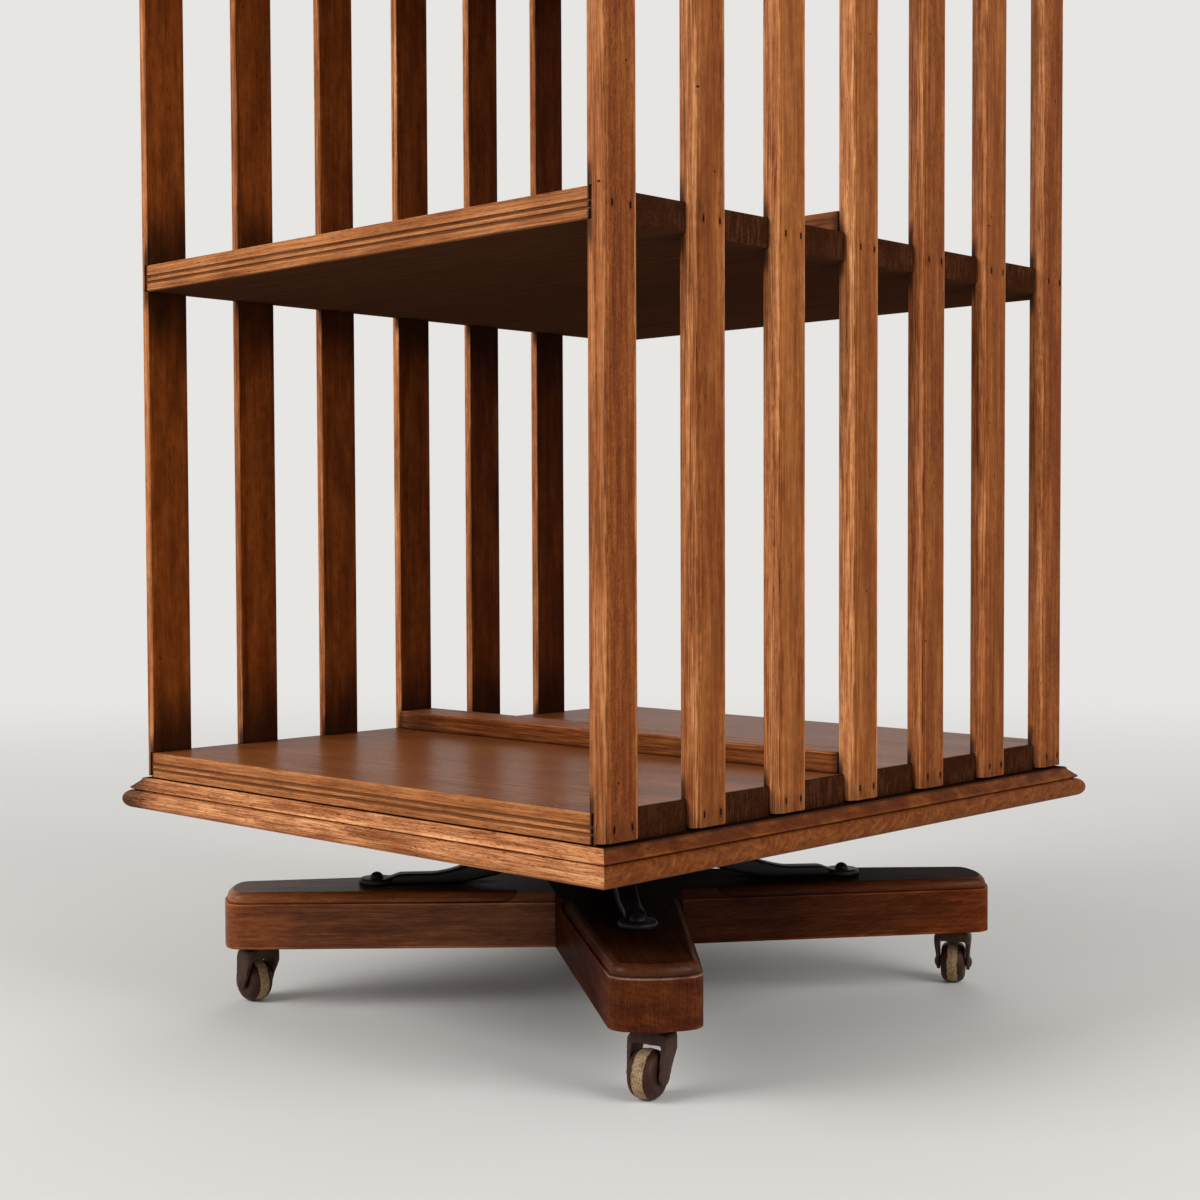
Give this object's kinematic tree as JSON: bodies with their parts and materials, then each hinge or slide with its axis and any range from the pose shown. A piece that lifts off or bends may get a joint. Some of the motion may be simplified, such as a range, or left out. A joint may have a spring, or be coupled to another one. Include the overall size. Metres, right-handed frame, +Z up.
{
  "type": "revolving bookcase",
  "caption": "Square book case with moulded plinth and top and slatted sides, turning on a pillar above a castored cross.",
  "frame": {"origin": "on the floor, on the axis that the case turns about", "axes": "+Z up along the turning axis; X from slatted side to slatted side; Y from open face to open face"},
  "size_m": [0.443, 0.479, 0.805],
  "materials": {
    "case_oak": "waxed",
    "cross_oak": "polished",
    "cast_iron": "black japanned",
    "castor_iron": "worn dark",
    "wheel_wood": "worn",
    "steel": "dull",
    "washer_brass": "dull"
  },
  "bodies": {
    "base": {"pillar": "steel", "pillar_pin": "steel", "thrust_washer": "washer_brass", "spider": "cast_iron", "spider_bolts": "cast_iron", "cross_rail_upper": "cross_oak", "cross_rail_lower": "cross_oak", "castor_plate_1": "castor_iron", "castor_plate_2": "castor_iron", "castor_plate_3": "castor_iron", "castor_plate_4": "castor_iron"},
    "case": {"bottom_shelf": "case_oak", "head_bearing": "cast_iron", "head_bearing_screws": "steel", "head_board": "case_oak", "head_screws": "steel", "left_slat_1": "case_oak", "left_slat_2": "case_oak", "left_slat_3": "case_oak", "left_slat_4": "case_oak", "left_slat_5": "case_oak", "left_slat_6": "case_oak", "left_slat_7": "case_oak", "lower_bearing": "cast_iron", "lower_bearing_screws": "steel", "lower_book_stop": "case_oak", "middle_shelf": "case_oak", "plinth_board": "case_oak", "plinth_screws": "steel", "right_slat_1": "case_oak", "right_slat_2": "case_oak", "right_slat_3": "case_oak", "right_slat_4": "case_oak", "right_slat_5": "case_oak", "right_slat_6": "case_oak", "right_slat_7": "case_oak", "slat_brads": "steel", "top_board": "case_oak", "upper_book_stop": "case_oak"},
    "castor_1": {"castor_horn_1": "castor_iron", "castor_axle_1": "castor_iron"},
    "wheel_1": {"castor_wheel_1": "wheel_wood"},
    "castor_2": {"castor_horn_2": "castor_iron", "castor_axle_2": "castor_iron"},
    "wheel_2": {"castor_wheel_2": "wheel_wood"},
    "castor_3": {"castor_horn_3": "castor_iron", "castor_axle_3": "castor_iron"},
    "wheel_3": {"castor_wheel_3": "wheel_wood"},
    "castor_4": {"castor_horn_4": "castor_iron", "castor_axle_4": "castor_iron"},
    "wheel_4": {"castor_wheel_4": "wheel_wood"}
  },
  "joints": [
    {"name": "case_turn", "type": "hinge", "parent": "base", "child": "case", "pos_m": [0, 0, 0.15], "axis": [0, 0, 1], "continuous": true},
    {"name": "castor_1_swivel", "type": "hinge", "parent": "base", "child": "castor_1", "pos_m": [0.17811, -0.15483, 0.0375], "axis": [0, 0, 1], "continuous": true},
    {"name": "wheel_1_spin", "type": "hinge", "parent": "castor_1", "child": "wheel_1", "pos_m": [0.17986, -0.16161, 0.014], "axis": [0.9681, 0.2504, 0], "continuous": true},
    {"name": "castor_2_swivel", "type": "hinge", "parent": "base", "child": "castor_2", "pos_m": [0.15483, 0.17811, 0.0375], "axis": [0, 0, 1], "continuous": true},
    {"name": "wheel_2_spin", "type": "hinge", "parent": "castor_2", "child": "wheel_2", "pos_m": [0.15144, 0.18423, 0.014], "axis": [-0.8746, -0.4848, 0], "continuous": true},
    {"name": "castor_3_swivel", "type": "hinge", "parent": "base", "child": "castor_3", "pos_m": [-0.17811, 0.15483, 0.0375], "axis": [0, 0, 1], "continuous": true},
    {"name": "wheel_3_spin", "type": "hinge", "parent": "castor_3", "child": "wheel_3", "pos_m": [-0.17461, 0.16089, 0.014], "axis": [-0.866, 0.5, 0], "continuous": true},
    {"name": "castor_4_swivel", "type": "hinge", "parent": "base", "child": "castor_4", "pos_m": [-0.15483, -0.17811, 0.0375], "axis": [0, 0, 1], "continuous": true},
    {"name": "wheel_4_spin", "type": "hinge", "parent": "castor_4", "child": "wheel_4", "pos_m": [-0.1618, -0.1775, 0.014], "axis": [-0.0872, -0.9962, 0], "continuous": true}
  ]
}
